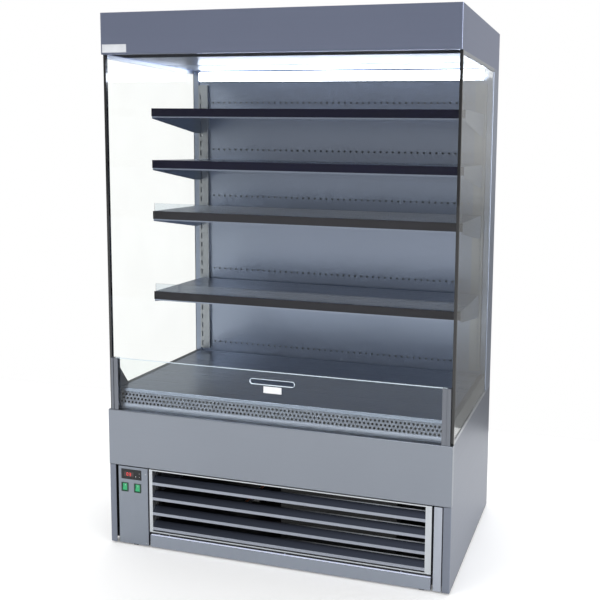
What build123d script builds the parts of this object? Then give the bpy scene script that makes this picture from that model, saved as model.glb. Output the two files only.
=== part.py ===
"""Open multideck display fridge with a built-in condensing unit.

Millimetres. +Z is up, the open front faces -Y, and the origin is on the floor
under the middle of the cabinet. A setback is a depth behind the front plane.
"""

import os
from math import cos, radians, sin

from build123d import *

os.makedirs("parts", exist_ok=True)

# ---------------------------------------------------------------- driving sizes
cabinet_width = 1200.0
cabinet_depth = 700.0
cabinet_height = 1800.0
sheet = 1.5                   # folded stainless sheet
bend = 3.0                    # outside bend radius
fit_gap = 0.3                 # clearance round pieces that lift, slide or turn

# main levels
floor_gap = 6.0               # under the skins of the base
plinth_height = 283.0         # underside of the fascia and of the insulated tub
base_height = 477.0           # top of the fascia and of the base sides
deck_rise = 71.0              # top of the deck above the fascia
canopy_drop = 133.0           # height of the canopy
riser_height = 179.0          # riser glass above the fascia

# base skins
side_flange = 24.0            # front return of a base side
fascia_ledge = 24.0           # depth of the fascia's top ledge
hem = 12.0                    # narrow return of a sheet edge
chassis_setback = 12.0        # front of the chassis behind the front plane
plinth_recess = 2.0           # plinth plates behind the front plane
plinth_line = 3.0             # dark joint round the plinth plates

# control panel, thermostat and switches, on the left seen from the front
control_width = 114.0
control_gap = 4.0             # from the joint beside the base side to the panel
control_margin = 13.0         # from the panel's left edge to the controls
thermostat_width = 77.0
thermostat_height = 35.0
thermostat_depth = 58.0
thermostat_drop = 29.5        # thermostat centre below the plinth's top
key_width = 7.0
key_height = 6.0
key_travel = 0.8
key_proud = 0.4               # face of a key behind the front plane
key_thickness = 1.85
key_well = 3.2                # depth of a key's well
rocker_width = 18.0
rocker_height = 23.0
rocker_depth = 8.0            # from the rocker's face to its back
rocker_rim = 4.0
rocker_body_depth = 24.0
rocker_drop = 76.0            # rocker centre below the plinth's top
rocker_spacing = 49.0
rocker_tilt = 6.0             # degrees each side of level
rocker_pivot = 8.0            # pivot behind the front plane
rocker_face = 5.6             # from the pivot to the ends of the V-shaped face
rocker_dish = 4.4             # from the pivot to the middle of the face
rocker_pin = 1.5              # radius of the cross pin

# louvre grille, kick rail and end strip
grille_bottom = 58.0
grille_depth = 24.0
left_stile = 12.0
right_stile = 20.0
grille_rail = 4.0
blade_count = 4
blade_pitch = 53.0
blade_rise = 9.0              # lip of the lowest blade above the frame's bottom
blade_lip = 10.0
blade_slope = 28.0            # rise of a blade from its lip to its back edge
blade_flange = 6.0
kick_height = 40.0
end_strip_width = 28.0

# chassis, feet and condensing unit
foot_height = 20.0
foot_radius = 16.0            # over the corners of the hexagon
foot_inset = 90.0
rail_height = 30.0
rail_width = 20.0
condenser_x = 210.0
condenser_setback = 62.0
condenser_width = 400.0
condenser_height = 208.0
condenser_depth = 44.0
condenser_fan_radius = 88.0
compressor_x = -140.0
compressor_setback = 410.0
compressor_radius = 82.0
compressor_height = 160.0
compressor_foot = 8.0         # thickness of the foot plate
pipe_radius = 5.0
pipe_bend = 20.0
pipe_level = 110.0            # discharge pipe above the floor plate
tray_inset = 200.0            # middle of the tray in front of the rear
tray_width = 240.0
tray_length = 200.0
tray_height = 60.0
rear_grille_bottom = 16.0
vent_width = 160.0
vent_height = 10.0
vent_columns = 5
vent_rows = 5
inlet_size = 28.0             # supply inlet in the rear grille

# insulated tub and air system
tub_wall = 30.0
tub_floor = 40.0
tub_front = 26.0              # front of the tub behind the front plane
skirt_gap = 2.0               # from the columns' line to the liner skirts
drain_radius = 12.0
drain_drop = 28.0
fan_plate_setback = 290.0
fan_spacing = 560.0
evaporator_fan_radius = 74.0
coil_setback = 410.0
coil_margin = 120.0           # from a side of the base to the coil
coil_depth = 150.0
coil_height = 130.0
coil_rise = 8.0
fin_pitch = 80.0
fin_thickness = 2.0
hub_radius = 24.0
hub_length = 26.0
shaft_radius = 4.0
shaft_clearance = 0.05
motor_width = 56.0            # square laminated body
motor_length = 42.0
blade_number = 5
blade_thickness = 2.0
blade_chord = 42.0
blade_angle = 32.0            # degrees from the plane of the fan
mouth_gap = 8.0               # from the blade tips to the fan's mouth
rotor_gap = 5.0               # free space in front of and behind a rotor
arm_width = 18.0
arm_thickness = 3.0
fin_height = 10.0
shroud_depth = 20.0

# back wall, columns, air duct and uprights
back_wall_thickness = 50.0
duct_depth = 48.5
column_width = 28.0
column_depth = 106.0
upright_width = 40.0
upright_depth = 12.0
upright_gap = 1.0             # from an upright to the column beside it
upright_drop = 55.0           # top of the uprights below the canopy
slot_pitch = 36.5
slot_height = 20.0
slot_width = 4.5
hole_width = 60.0             # air slots of the inner back panel
hole_height = 6.0
hole_pitch = 144.0
hole_rise = 40.0              # row of slots above a shelf

# end glass and its trims
glass_thickness = 6.0
glass_inset = 1.5             # outer face of the glass inside the side plane
channel_height = 12.0
trim_setback = 14.0
trim_depth = 10.0
glass_bite = 7.0              # front edge of the glass inside its trim

# front riser
riser_thickness = 6.0
riser_setback = 9.0           # front face of the riser glass
riser_bite = 14.0             # depth of the slots that take its ends
post_width = 27.0
post_depth = 16.0
post_setback = 4.0
post_gap = 0.5                # from a post to the glass channel beside it
groove = 4.0
hand_slot_length = 155.0
hand_slot_height = 17.0
hand_slot_drop = 36.0         # slot centre below the glass's top edge
gusset_reach = 66.0
gusset_height = 89.0

# air return grille and deck
return_band = 18.0            # plain band below the perforated slope
return_lean = 14.0            # how far the perforated slope leans back
return_slot_width = 76.0
return_slot_height = 8.0
return_slot_pitch = 95.0
return_rows = 2
deck_nose_setback = 31.0
deck_nose = 12.0

# shelves, from the lowest up
shelf_depth = 346.5
shelf_inset = 9.0                     # ends of a shelf inside the columns
shelf_lip = 33.0
shelf_shares = (0.29, 0.57, 0.75, 0.93)  # places of the shelves up the run of slots
datum_rise = 8.0                      # level of the lowest slot's shelf above the deck
bracket_plate = 2.5
bracket_front = 36.0
bracket_rear = 80.0
bracket_taper = 300.0                 # length of the tapered underside
bracket_ledge = 12.0
hook_drop = 22.0                      # seat of the upper hook below the shelf's top
hook_neck = 8.0
hook_leg = 8.0
hook_thickness = 4.0
rear_clearance = 1.5                  # from the brackets' rear edge to the uprights
strip_height = 28.0
strip_depth = 3.5
strip_wall = 1.0
clear_riser_rise = 28.0
clear_riser_thickness = 3.0

# canopy
canopy_setback = 1.0
canopy_lip = 18.0
canopy_hem = 14.0
roof_thickness = 40.0
comb_setback = 24.0
comb_depth = 88.0
comb_height = 30.0
cell_pitch = 118.0
comb_wall = 2.0
soffit_setback = 125.0
swage_count = 5
swage_pitch = 44.0
swage_depth = 5.0
lamp_depth = 28.0
lamp_height = 36.0
lamp_drop = 5.0
diffuser_depth = 14.0
lamp_margin = 40.0            # from a side plane to the lamp's end

# ---------------------------------------------------------------- worked-out places
half_width = cabinet_width / 2
front = -cabinet_depth / 2
skin_inside = half_width - sheet
deck_height = base_height + deck_rise
fascia_return = tub_front - fit_gap
canopy_bottom = cabinet_height - canopy_drop
glass_outside = half_width - glass_inset
glass_inside = glass_outside - glass_thickness
channel_inside = glass_inside - sheet
inner_half = half_width - column_width
liner_half = inner_half - fit_gap
skirt_inside = inner_half + skirt_gap
back_wall_setback = cabinet_depth - back_wall_thickness
duct_setback = back_wall_setback - duct_depth - sheet
column_setback = cabinet_depth - column_depth
chassis_top = foot_height + rail_height
floor_top = chassis_top + sheet
control_left = -half_width + side_flange + plinth_line + control_gap
control_right = control_left + control_width
grille_left = control_right + 2 * plinth_line
grille_top = plinth_height - plinth_line
end_strip_right = half_width - side_flange - plinth_line
end_strip_left = end_strip_right - end_strip_width
grille_right = end_strip_left - 2 * plinth_line
grille_width = grille_right - grille_left
tub_floor_top = plinth_height + tub_floor
return_top = deck_height - sheet
roof_bottom = cabinet_height - roof_thickness - sheet
soffit_top = canopy_bottom + 2 * sheet
shroud_back = condenser_setback + condenser_depth + shroud_depth
condenser_fan_z = floor_top + condenser_height / 2
fan_plate_back = fan_plate_setback + sheet
evaporator_fan_z = (tub_floor_top + deck_height) / 2
coil_width = cabinet_width - 2 * coil_margin
tray_x = cabinet_width / 4
tray_setback = cabinet_depth - tray_inset
riser_top = base_height + riser_height
upright_face = duct_setback - upright_depth
upright_centre = inner_half - upright_gap - upright_width / 2
upright_bottom = deck_height + hem
upright_top = canopy_bottom - upright_drop
shelf_half_width = inner_half - shelf_inset
bracket_middle = shelf_half_width - bracket_plate / 2
bracket_rear_setback = upright_face - rear_clearance
shelf_setback = bracket_rear_setback - shelf_depth
datum_level = deck_height + datum_rise
first_seat = datum_level - hook_drop + slot_pitch
slot_count = int((upright_top - first_seat) / slot_pitch)
shelf_levels = [datum_level + slot_pitch * round(slot_count * share) for share in shelf_shares]
swage_start = duct_setback - swage_count * swage_pitch
lamp_half = half_width - lamp_margin


def keep(piece, label):
    """Label a finished piece and write it out."""
    piece.part.label = label
    export_step(piece.part, f"parts/{label}.step")


def keep_welded(pieces, label):
    """Label pieces that are welded face to face and write them out as separate solids."""
    group = Compound([solid for piece in pieces for solid in piece.part.solids()])
    group.label = label
    export_step(group, f"parts/{label}.step")


def side_plane(x):
    """A plane square to X: its own x is the setback and its own y is the height."""
    return Plane(origin=(x, front, 0), x_dir=(0, 1, 0), z_dir=(1, 0, 0))


def front_plane(setback):
    """A plane square to Y, facing the front: its own x is X and its own y is the height."""
    return Plane(origin=(0, front + setback, 0), x_dir=(1, 0, 0), z_dir=(0, -1, 0))


def level(height):
    """A level plane: its own x is X and its own y is the setback."""
    return Plane(origin=(0, front, height), x_dir=(1, 0, 0), z_dir=(0, 0, 1))


def folded(plane, points, side, length, rounded=True):
    """A sheet folded along an outline on a plane, extruded along the plane's normal."""
    with BuildPart() as piece:
        with BuildSketch(plane):
            with BuildLine():
                if rounded:
                    FilletPolyline(*points, radius=bend)
                else:
                    Polyline(*points)
                offset(amount=sheet, side=side, kind=Kind.INTERSECTION)
            make_face()
        extrude(amount=length)
    return piece


# ---------------------------------------------------------------- chassis and base skins
def chassis_frame():
    """A welded chassis, tube by tube: rails, cross rails, corner posts, mullions and floor plate."""
    outside = 2 * skin_inside
    depth = cabinet_depth - 2 * chassis_setback
    mullion_front = plinth_recess + grille_depth
    with BuildPart() as long_rails:
        with BuildSketch(Plane.XY.offset(foot_height)):
            with GridLocations(0, depth - rail_width, 1, 2):
                Rectangle(outside, rail_width)
        extrude(amount=rail_height)
    with BuildPart() as short_rails:
        with BuildSketch(Plane.XY.offset(foot_height)):
            for spacing in (outside - rail_width, outside / 3):
                with GridLocations(spacing, 0, 2, 1):
                    Rectangle(rail_width, depth - 2 * rail_width)
        extrude(amount=rail_height)
    with BuildPart() as floor_plate:
        with BuildSketch(Plane.XY.offset(chassis_top)):
            Rectangle(outside, depth)
        extrude(amount=sheet)
    with BuildPart() as posts:
        with BuildSketch(Plane.XY.offset(floor_top)):
            with GridLocations(outside - rail_width, depth - rail_width, 2, 2):
                Rectangle(rail_width, rail_width)
        extrude(amount=plinth_height - floor_top)
    with BuildPart() as mullions:
        with BuildSketch(level(floor_top)):
            with Locations((grille_left, mullion_front), (grille_right - rail_width, mullion_front)):
                Rectangle(rail_width, rail_width, align=(Align.MIN, Align.MIN))
        extrude(amount=plinth_height - floor_top)
    keep_welded((long_rails, short_rails, floor_plate, posts, mullions), "chassis_frame")


def levelling_feet():
    """Four hexagonal levelling feet under the rails, turned with a spanner."""
    spread_x = 2 * (skin_inside - foot_inset)
    spread_y = cabinet_depth - 2 * chassis_setback - rail_width
    with BuildPart() as feet:
        with BuildSketch(Plane.XY):
            with GridLocations(spread_x, spread_y, 2, 2):
                RegularPolygon(foot_radius, 6)
        extrude(amount=foot_height)
    keep(feet, "levelling_feet")


def base_sides():
    """Two stainless sides of the base with front and rear returns and a narrow top flange."""
    flange_depth = column_setback - tub_front
    with BuildPart() as sides:
        with BuildSketch(level(floor_gap)):
            with BuildLine():
                FilletPolyline(
                    (half_width - side_flange, 0), (half_width, 0),
                    (half_width, cabinet_depth), (inner_half, cabinet_depth), radius=bend,
                )
                offset(amount=sheet, side=Side.LEFT)
            make_face()
        extrude(amount=plinth_height - floor_gap)
        with BuildSketch(level(plinth_height)):
            with BuildLine():
                FilletPolyline(
                    (half_width, tub_front), (half_width, cabinet_depth),
                    (inner_half, cabinet_depth), radius=bend,
                )
                offset(amount=sheet, side=Side.LEFT)
            make_face()
        extrude(amount=base_height - plinth_height)
        with BuildSketch(level(base_height - sheet)):
            with Locations((half_width, tub_front)):
                Rectangle(half_width - channel_inside, flange_depth, align=(Align.MAX, Align.MIN))
        extrude(amount=sheet)
        mirror(about=Plane.YZ)
    keep(sides, "base_sides")


def front_fascia():
    """Front fascia: face, top ledge with a turned-down back edge, lower hem and end returns."""
    outline = [
        (fascia_ledge, base_height - hem), (fascia_ledge, base_height), (0, base_height),
        (0, plinth_height), (hem, plinth_height),
    ]
    face = folded(side_plane(-half_width), outline, Side.LEFT, cabinet_width)
    with BuildPart() as fascia:
        add(face.part)
        with BuildSketch(level(plinth_height)):
            with Locations((skin_inside, bend), (-half_width, bend)):
                Rectangle(sheet, fascia_return - bend, align=(Align.MIN, Align.MIN))
        extrude(amount=base_height - plinth_height)
    keep(fascia, "front_fascia")


def plinth_plate(left, right, bottom, top):
    """A plinth plate with a return back to the chassis at each end."""
    outline = [
        (left, chassis_setback), (left, plinth_recess), (right, plinth_recess),
        (right, chassis_setback),
    ]
    return folded(level(bottom), outline, Side.LEFT, top - bottom)


# ---------------------------------------------------------------- controls
thermostat_x = control_left + control_margin + thermostat_width / 2
thermostat_z = plinth_height - thermostat_drop
rocker_z = plinth_height - rocker_drop
rocker_opening = rocker_width + 2 * rocker_rim
first_rocker_x = control_left + control_margin + rocker_opening / 2
rocker_xs = (first_rocker_x, first_rocker_x + rocker_spacing)
key_x = thermostat_x + thermostat_width / 2 - key_width
key_places = {
    "key_up": (key_x, thermostat_z + key_height),
    "key_down": (key_x, thermostat_z - key_height),
    "key_set": (key_x - 2 * key_width, thermostat_z - key_height),
}


def control_panel():
    """Control panel with cut-outs for the thermostat and both rocker switches."""
    blank = plinth_plate(control_left, control_right, floor_gap, grille_top)
    with BuildPart() as plate:
        add(blank.part)
        with BuildSketch(front_plane(0)):
            with Locations((thermostat_x, thermostat_z)):
                Rectangle(thermostat_width, thermostat_height)
            with Locations(*[(x, rocker_z) for x in rocker_xs]):
                Rectangle(rocker_opening, rocker_height + 2 * rocker_rim)
        extrude(amount=-(plinth_recess + sheet), mode=Mode.SUBTRACT)
    keep(plate, "control_panel")


def thermostat():
    """Electronic thermostat: a slim body, a recessed window and wells for its three keys."""
    with BuildPart() as body:
        with BuildSketch(front_plane(0)):
            with Locations((thermostat_x, thermostat_z)):
                Rectangle(thermostat_width, thermostat_height)
        extrude(amount=-thermostat_depth)
        chamfer(body.faces().sort_by(Axis.Y)[0].edges(), length=plinth_recess / 2)
        with BuildSketch(front_plane(0)):
            with Locations((thermostat_x - thermostat_width / 8, thermostat_z)):
                Rectangle(thermostat_width / 2, thermostat_height / 2)
        extrude(amount=-sheet, mode=Mode.SUBTRACT)
        with BuildSketch(front_plane(0)):
            with Locations(*key_places.values()):
                Rectangle(key_width + 2 * fit_gap, key_height + 2 * fit_gap)
        extrude(amount=-key_well, mode=Mode.SUBTRACT)
    keep(body, "thermostat")


def thermostat_keys():
    """Three keys that travel back into the thermostat's face."""
    for label, place in key_places.items():
        with BuildPart() as key:
            with BuildSketch(front_plane(key_proud)):
                with Locations(place):
                    Rectangle(key_width, key_height)
            extrude(amount=-key_thickness)
            chamfer(key.faces().sort_by(Axis.Y)[0].edges(), length=key_travel / 2)
        keep(key, label)


def rocker_switches():
    """Two rocker switches: rims and bodies fixed in the panel, rockers on cross pins, tops in."""
    well_width = rocker_width + 2 * fit_gap
    pin_pocket = 2 * (rocker_pin + shaft_clearance)
    pin_length = well_width + 2 * sheet
    with BuildPart() as bodies:
        with BuildSketch(front_plane(0)):
            with Locations(*[(x, rocker_z) for x in rocker_xs]):
                Rectangle(rocker_opening, rocker_height + 2 * rocker_rim)
        extrude(amount=-rocker_body_depth)
        with BuildSketch(front_plane(0)):
            with Locations(*[(x, rocker_z) for x in rocker_xs]):
                Rectangle(well_width, rocker_height + rocker_rim)
        extrude(amount=-(rocker_pivot + rocker_depth), mode=Mode.SUBTRACT)
        for x in rocker_xs:
            with BuildSketch(side_plane(x - pin_length / 2)):
                with Locations((rocker_pivot, rocker_z)):
                    Rectangle(pin_pocket, pin_pocket)
            extrude(amount=pin_length, mode=Mode.SUBTRACT)
    keep(bodies, "rocker_bodies")
    tilt = radians(rocker_tilt)
    back = rocker_depth - rocker_face
    half = rocker_height / 2
    for label, x in zip(("power_rocker", "light_rocker"), rocker_xs):
        pivot = Plane(
            origin=(x, front + rocker_pivot, rocker_z),
            x_dir=(0, cos(tilt), -sin(tilt)), z_dir=(1, 0, 0),
        )
        with BuildPart() as rocker:
            with BuildSketch(pivot.offset(-rocker_width / 2)):
                with BuildLine():
                    Polyline(
                        (-rocker_face, -half), (-rocker_dish, 0), (-rocker_face, half),
                        (back, half), (back, -half), close=True,
                    )
                make_face()
            extrude(amount=rocker_width)
            with BuildSketch(pivot.offset(-pin_length / 2)):
                Circle(rocker_pin)
            extrude(amount=pin_length)
        keep(rocker, label)


# ---------------------------------------------------------------- louvre grille
def louvre_grille():
    """Removable grille: a frame of thin rails and deep stiles, and four sloping blades."""
    grille_height = grille_top - grille_bottom
    opening_width = grille_width - left_stile - right_stile
    opening_left = grille_left + left_stile
    with BuildPart() as frame:
        with BuildSketch(front_plane(plinth_recess)):
            with Locations((grille_left, grille_bottom)):
                Rectangle(grille_width, grille_height, align=(Align.MIN, Align.MIN))
            with Locations((opening_left, grille_bottom + grille_rail)):
                Rectangle(
                    opening_width, grille_height - 2 * grille_rail,
                    align=(Align.MIN, Align.MIN), mode=Mode.SUBTRACT,
                )
        extrude(amount=-grille_depth)
    keep(frame, "louvre_frame")
    back = plinth_recess + grille_depth - blade_flange
    with BuildPart() as blades:
        for number in range(blade_count):
            foot = grille_bottom + blade_rise + number * blade_pitch
            with BuildSketch(side_plane(opening_left)):
                with BuildLine():
                    FilletPolyline(
                        (plinth_recess, foot), (plinth_recess, foot + blade_lip),
                        (back, foot + blade_slope), (back + blade_flange, foot + blade_slope),
                        radius=bend,
                    )
                    offset(amount=sheet, side=Side.RIGHT)
                make_face()
            extrude(amount=opening_width)
    keep(blades, "louvre_blades")


# ---------------------------------------------------------------- fans
def fan(label, x, height, setback, radius):
    """A fan rotor on an axis to the back: a bored ten-sided hub with five pitched blades."""
    hub = front_plane(setback)
    hub_middle = hub.offset(-hub_length / 2).origin + Vector(x, 0, height)
    angle = radians(blade_angle)
    root_distance = hub_radius - 2 * blade_thickness
    with BuildPart() as rotor:
        with BuildSketch(hub):
            with Locations((x, height)):
                RegularPolygon(hub_radius, 2 * blade_number)
                Circle(shaft_radius + shaft_clearance, mode=Mode.SUBTRACT)
        extrude(amount=-hub_length)
        for number in range(blade_number):
            turn = radians(360 / blade_number * (number + 0.25))
            outward = Vector(cos(turn), 0, sin(turn))
            around = Vector(-sin(turn), 0, cos(turn))
            chord = around * cos(angle) + Vector(0, sin(angle), 0)
            root = hub_middle + outward * root_distance
            with BuildSketch(Plane(origin=root, x_dir=chord, z_dir=outward)):
                Rectangle(blade_chord, blade_thickness)
            extrude(amount=radius - root_distance)
    keep(rotor, label)


def fan_motor(x, height, plate_setback, radius):
    """A motor behind a rotor: body, shaft, and a cross arm with two legs to the mounting plate."""
    arm_length = 2 * (radius + 2 * mouth_gap)
    rotor_back = plate_setback + rotor_gap + hub_length
    arm_front = rotor_back + rotor_gap
    body_front = arm_front + arm_thickness
    with BuildPart() as motor:
        with BuildSketch(front_plane(body_front)):
            with Locations((x, height)):
                Rectangle(motor_width, motor_width)
        extrude(amount=-motor_length)
        with BuildSketch(front_plane(arm_front)):
            with Locations((x, height)):
                Rectangle(arm_length, arm_width)
        extrude(amount=-arm_thickness)
        with BuildSketch(front_plane(plate_setback)):
            with Locations((x, height)):
                with GridLocations(arm_length - arm_thickness, 0, 2, 1):
                    Rectangle(arm_thickness, arm_width)
        extrude(amount=-(arm_front - plate_setback))
        with BuildSketch(front_plane(plate_setback)):
            with Locations((x, height)):
                Circle(shaft_radius)
        extrude(amount=-(body_front - plate_setback))
    return motor


def fans_and_motors():
    """The condenser fan, the two evaporator fans and the motors that carry them."""
    fan("condenser_fan", condenser_x, condenser_fan_z, shroud_back + rotor_gap,
        condenser_fan_radius)
    for label, x in (("evaporator_fan_left", -fan_spacing / 2), ("evaporator_fan_right", fan_spacing / 2)):
        fan(label, x, evaporator_fan_z, fan_plate_back + rotor_gap, evaporator_fan_radius)
    with BuildPart() as motors:
        add(fan_motor(condenser_x, condenser_fan_z, shroud_back, condenser_fan_radius).part)
        for x in (-fan_spacing / 2, fan_spacing / 2):
            add(fan_motor(x, evaporator_fan_z, fan_plate_back, evaporator_fan_radius).part)
    keep(motors, "fan_motors")


# ---------------------------------------------------------------- condensing unit
def finned_coil(x, setback, bottom, width, depth, height):
    """A finned coil: one core with end plates and spaced fins on its top and bottom."""
    fin_count = int(width / fin_pitch)
    core = height - 2 * fin_height
    with BuildPart() as coil:
        with BuildSketch(level(bottom + fin_height)):
            with Locations((x, setback)):
                Rectangle(width, depth, align=(Align.CENTER, Align.MIN))
        extrude(amount=core)
        with BuildSketch(level(bottom)):
            with Locations((x, setback + depth / 2)):
                with GridLocations(width / fin_count, 0, fin_count, 1):
                    Rectangle(fin_thickness, depth)
                with GridLocations(width - fin_thickness, 0, 2, 1):
                    Rectangle(fin_thickness, depth)
        extrude(amount=height)
    return coil


def condenser():
    """Condenser coil behind the grille, with a shroud plate whose mouth rings the fan."""
    block = finned_coil(
        condenser_x, condenser_setback, floor_top, condenser_width, condenser_depth, condenser_height,
    )
    mouth = condenser_fan_radius + mouth_gap
    with BuildPart() as unit:
        add(block.part)
        with BuildSketch(front_plane(shroud_back - sheet)):
            with Locations((condenser_x, floor_top)):
                Rectangle(condenser_width, condenser_height, align=(Align.CENTER, Align.MIN))
            with Locations((condenser_x, condenser_fan_z)):
                Circle(mouth, mode=Mode.SUBTRACT)
        extrude(amount=-sheet)
        with BuildSketch(front_plane(condenser_setback + condenser_depth)):
            with Locations((condenser_x, floor_top)):
                Rectangle(condenser_width, condenser_height, align=(Align.CENTER, Align.MIN))
                Rectangle(
                    condenser_width - 2 * sheet, condenser_height,
                    align=(Align.CENTER, Align.MIN), mode=Mode.SUBTRACT,
                )
        extrude(amount=-(shroud_back - sheet - condenser_setback - condenser_depth))
    keep(unit, "condenser")


def compressor():
    """Hermetic compressor: a round shell on a square foot plate."""
    with BuildPart() as shell:
        with BuildSketch(level(floor_top)):
            with Locations((compressor_x, compressor_setback)):
                Circle(compressor_radius)
        extrude(amount=compressor_height)
        with BuildSketch(level(floor_top)):
            with Locations((compressor_x, compressor_setback)):
                Rectangle(2 * compressor_radius, 2 * compressor_radius)
        extrude(amount=compressor_foot)
    keep(shell, "compressor")


def pipe(points):
    """A copper tube along straight runs joined by bends."""
    with BuildPart() as tube:
        with BuildLine() as route:
            if len(points) > 2:
                FilletPolyline(*points, radius=pipe_bend)
            else:
                Line(*points)
        along = Vector(*points[1]) - Vector(*points[0])
        with BuildSketch(Plane(origin=points[0], z_dir=along)):
            RegularPolygon(pipe_radius, 8)
        sweep(path=route.wires()[0])
    return tube


def refrigerant_pipes():
    """Discharge pipe to the condenser, and the liquid and suction pipes up to the tub."""
    compressor_y = front + compressor_setback
    condenser_y = front + condenser_setback + condenser_depth / 2
    core_top = floor_top + condenser_height - fin_height
    liquid_x = condenser_x + 1.5 * fin_pitch
    level_z = floor_top + pipe_level
    routes = (
        (
            (compressor_x, compressor_y - compressor_radius, level_z),
            (compressor_x, condenser_y, level_z),
            (condenser_x - condenser_width / 2, condenser_y, level_z),
        ),
        ((liquid_x, condenser_y, core_top), (liquid_x, condenser_y, plinth_height)),
        (
            (compressor_x, compressor_y, floor_top + compressor_height),
            (compressor_x, compressor_y, plinth_height),
        ),
    )
    with BuildPart() as pipes:
        for points in routes:
            add(pipe(points).part)
    keep(pipes, "refrigerant_pipes")


def drain_tray():
    """Open tray on the floor plate that catches the melt water."""
    with BuildPart() as tray:
        with BuildSketch(level(floor_top)):
            with Locations((tray_x, tray_setback)):
                Rectangle(tray_width, tray_length)
        extrude(amount=tray_height)
        offset(amount=-sheet, openings=tray.faces().sort_by(Axis.Z)[-1])
    keep(tray, "drain_tray")


def rear_grille():
    """Vented plate across the back of the machine space, with the supply inlet."""
    top = plinth_height - plinth_line
    middle = (rear_grille_bottom + top) / 2
    width = 2 * inner_half
    with BuildPart() as plate:
        with BuildSketch(front_plane(cabinet_depth - sheet)):
            with Locations((0, middle)):
                Rectangle(width, top - rear_grille_bottom)
                with GridLocations(width / (vent_columns + 1), 4 * vent_height, vent_columns, vent_rows):
                    Rectangle(vent_width, vent_height, mode=Mode.SUBTRACT)
        extrude(amount=-sheet)
        with BuildSketch(front_plane(cabinet_depth - sheet)):
            with Locations((inner_half - inlet_size, chassis_top + inlet_size)):
                Rectangle(inlet_size, inlet_size)
        extrude(amount=inlet_size - sheet)
        with BuildSketch(front_plane(cabinet_depth)):
            with Locations((inner_half - inlet_size, chassis_top + inlet_size)):
                Rectangle(inlet_size - 4 * sheet, inlet_size - 4 * sheet)
        extrude(amount=inlet_size / 2, mode=Mode.SUBTRACT)
    keep(plate, "rear_grille")


# ---------------------------------------------------------------- tub, coil and fan plate
def insulated_tub():
    """Foam-filled tub under the deck, open at the back, with liner skirts beside the deck."""
    outside = 2 * skin_inside
    inside = outside - 2 * tub_wall
    depth = back_wall_setback - tub_front
    rim = base_height - sheet
    with BuildPart() as tub:
        with BuildSketch(level(plinth_height)):
            with Locations((0, tub_front)):
                Rectangle(outside, depth, align=(Align.CENTER, Align.MIN))
        extrude(amount=rim - plinth_height)
        with BuildSketch(level(tub_floor_top)):
            with Locations((0, tub_front + tub_wall)):
                Rectangle(inside, depth - tub_wall, align=(Align.CENTER, Align.MIN))
        extrude(amount=rim - tub_floor_top, mode=Mode.SUBTRACT)
        with BuildSketch(level(rim)):
            with Locations((0, tub_front)):
                Rectangle(
                    2 * channel_inside, column_setback - tub_front, align=(Align.CENTER, Align.MIN),
                )
                Rectangle(
                    2 * skirt_inside, column_setback - tub_front,
                    align=(Align.CENTER, Align.MIN), mode=Mode.SUBTRACT,
                )
        extrude(amount=deck_height - rim)
        with BuildSketch(level(plinth_height - drain_drop)):
            with Locations((tray_x, tray_setback)):
                Circle(drain_radius + 2 * sheet)
        extrude(amount=drain_drop)
        with BuildSketch(level(plinth_height - drain_drop)):
            with Locations((tray_x, tray_setback)):
                Circle(drain_radius)
        extrude(amount=drain_drop + tub_floor, mode=Mode.SUBTRACT)
    keep(tub, "insulated_tub")


def fan_plate():
    """Upright plate in the tub with two fan mouths and a top flange under the deck."""
    outline = [
        (fan_plate_setback, tub_floor_top), (fan_plate_setback, deck_height - sheet),
        (fan_plate_setback + 2 * hem, deck_height - sheet),
    ]
    inside = skin_inside - tub_wall
    blank = folded(side_plane(-inside), outline, Side.RIGHT, 2 * inside, rounded=False)
    with BuildPart() as plate:
        add(blank.part)
        with BuildSketch(front_plane(fan_plate_setback)):
            for x in (-fan_spacing / 2, fan_spacing / 2):
                with Locations((x, evaporator_fan_z)):
                    Circle(evaporator_fan_radius + mouth_gap)
        extrude(amount=-sheet, mode=Mode.SUBTRACT)
    keep(plate, "fan_plate")


def evaporator_coil():
    """Evaporator coil standing on two feet in the tub."""
    coil = finned_coil(0, coil_setback, tub_floor_top + coil_rise, coil_width, coil_depth, coil_height)
    with BuildPart() as evaporator:
        add(coil.part)
        with BuildSketch(level(tub_floor_top)):
            with Locations((0, coil_setback + coil_depth / 2)):
                with GridLocations(coil_width - 2 * fin_pitch, 0, 2, 1):
                    Rectangle(fin_pitch / 2, coil_depth)
        extrude(amount=coil_rise + fin_height)
    keep(evaporator, "evaporator_coil")


# ---------------------------------------------------------------- air return, deck and riser
def air_return_grille():
    """Perforated front intake: foot on the tub, plain band, leaning perforated face, back hem."""
    rim = base_height - sheet
    band_top = base_height + return_band
    outline = [
        (tub_front + 2 * hem, rim), (tub_front, rim), (tub_front, band_top),
        (tub_front + return_lean, return_top), (tub_front + return_lean + hem, return_top),
    ]
    blank = folded(side_plane(-liner_half), outline, Side.RIGHT, 2 * liner_half)
    slope_rise = return_top - band_top
    slope = Plane(
        origin=(0, front + tub_front + return_lean / 2, band_top + slope_rise / 2),
        x_dir=(1, 0, 0), z_dir=(0, -slope_rise, return_lean),
    )
    columns = int(2 * liner_half / return_slot_pitch)
    with BuildPart() as grille:
        add(blank.part)
        with BuildSketch(slope):
            with GridLocations(return_slot_pitch, slope_rise / (return_rows + 1), columns, return_rows):
                Rectangle(return_slot_width, return_slot_height)
        extrude(amount=2 * sheet, both=True, mode=Mode.SUBTRACT)
    keep(grille, "air_return_grille")


def deck_panel():
    """Lift-out deck with a turned-down nose, flat at the back where it lies on a ledge."""
    outline = [
        (deck_nose_setback, deck_height - deck_nose), (deck_nose_setback, deck_height),
        (upright_face - fit_gap, deck_height),
    ]
    keep(folded(side_plane(-liner_half), outline, Side.RIGHT, 2 * liner_half), "deck_panel")


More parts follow.
